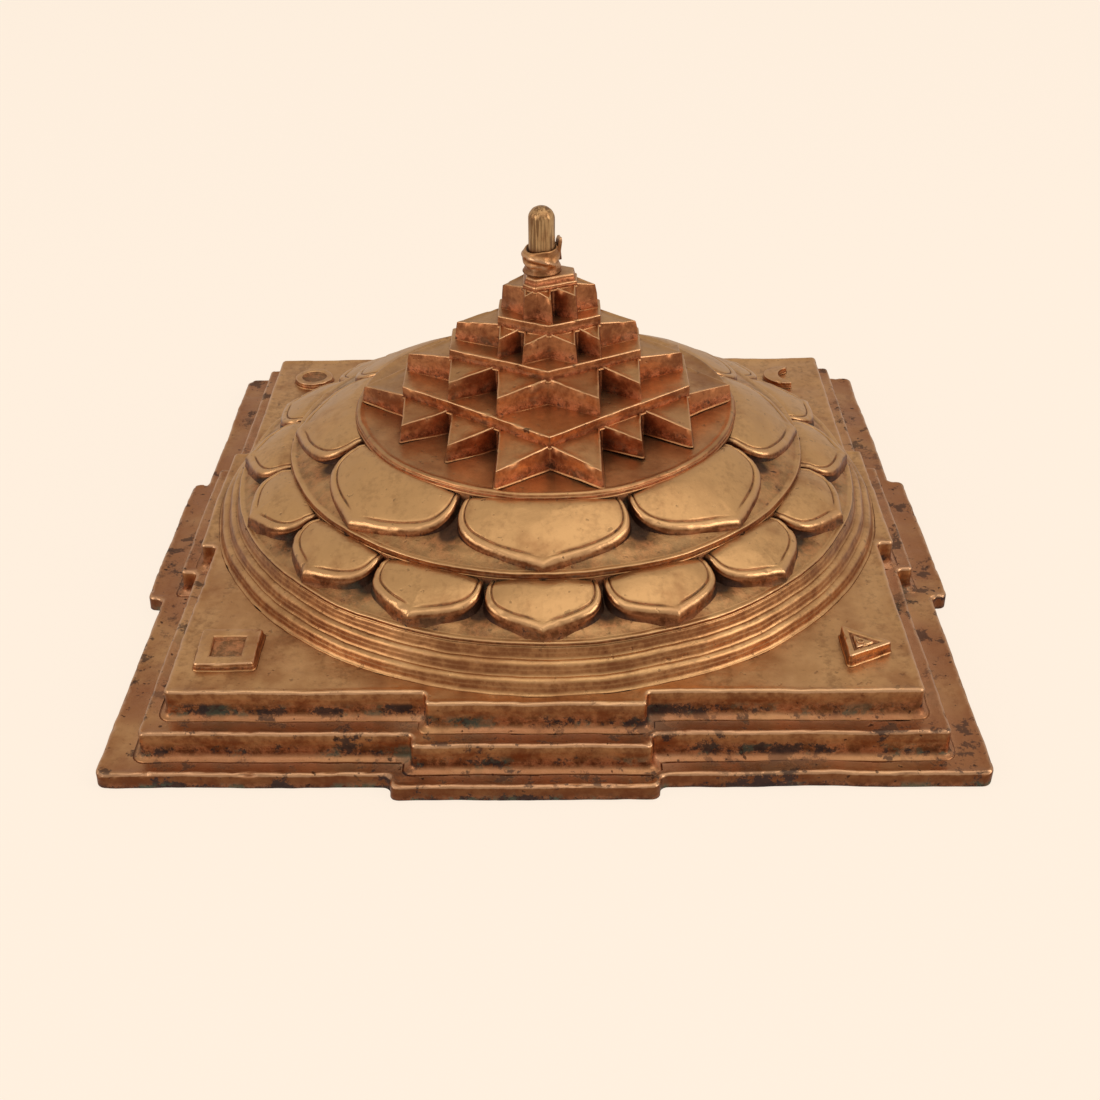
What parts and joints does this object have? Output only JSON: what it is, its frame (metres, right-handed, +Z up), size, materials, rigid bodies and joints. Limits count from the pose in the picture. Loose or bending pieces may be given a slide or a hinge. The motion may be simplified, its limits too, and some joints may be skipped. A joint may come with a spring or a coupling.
{
  "type": "shri yantra",
  "caption": "Free-standing cast metal shri yantra: a stepped square base with gates, round steps, rings of lotus petals and a stepped crown of interlocking triangles with a pin on top.",
  "frame": {"origin": "centre of the flat underside of the lower plate, on the surface it stands on", "axes": "+Z up through the pin, -Y towards the viewer of the front, +X to the viewer's right"},
  "size_m": [0.1574, 0.156, 0.0747],
  "materials": {
    "cast_bronze": "aged copper-coloured bronze casting, satin, rubbed bright on edges and dark red-brown in recesses",
    "petal_bronze": "the same casting rubbed to a warmer gold on the petals, satin",
    "pin_brass": "filed yellow brass rod, satin with lengthwise marks"
  },
  "bodies": {
    "root": {"bhupura_lower_plate": "cast_bronze", "bhupura_middle_plate": "cast_bronze", "bhupura_upper_plate": "cast_bronze", "girdle_step_outer": "cast_bronze", "girdle_step_middle": "cast_bronze", "girdle_step_inner": "cast_bronze", "sixteen_petal_tier": "petal_bronze", "eight_petal_tier": "petal_bronze", "star_floor_disc": "cast_bronze", "fourteen_triangle_tier": "cast_bronze", "outer_ten_triangle_tier": "cast_bronze", "inner_ten_triangle_tier": "cast_bronze", "eight_triangle_tier": "cast_bronze", "summit_platform": "cast_bronze", "bindu_collar": "cast_bronze", "bindu_pin": "pin_brass", "corner_seal_square": "cast_bronze", "corner_seal_triangle": "cast_bronze", "corner_seal_crescent": "cast_bronze", "corner_seal_round": "cast_bronze"}
  },
  "joints": []
}
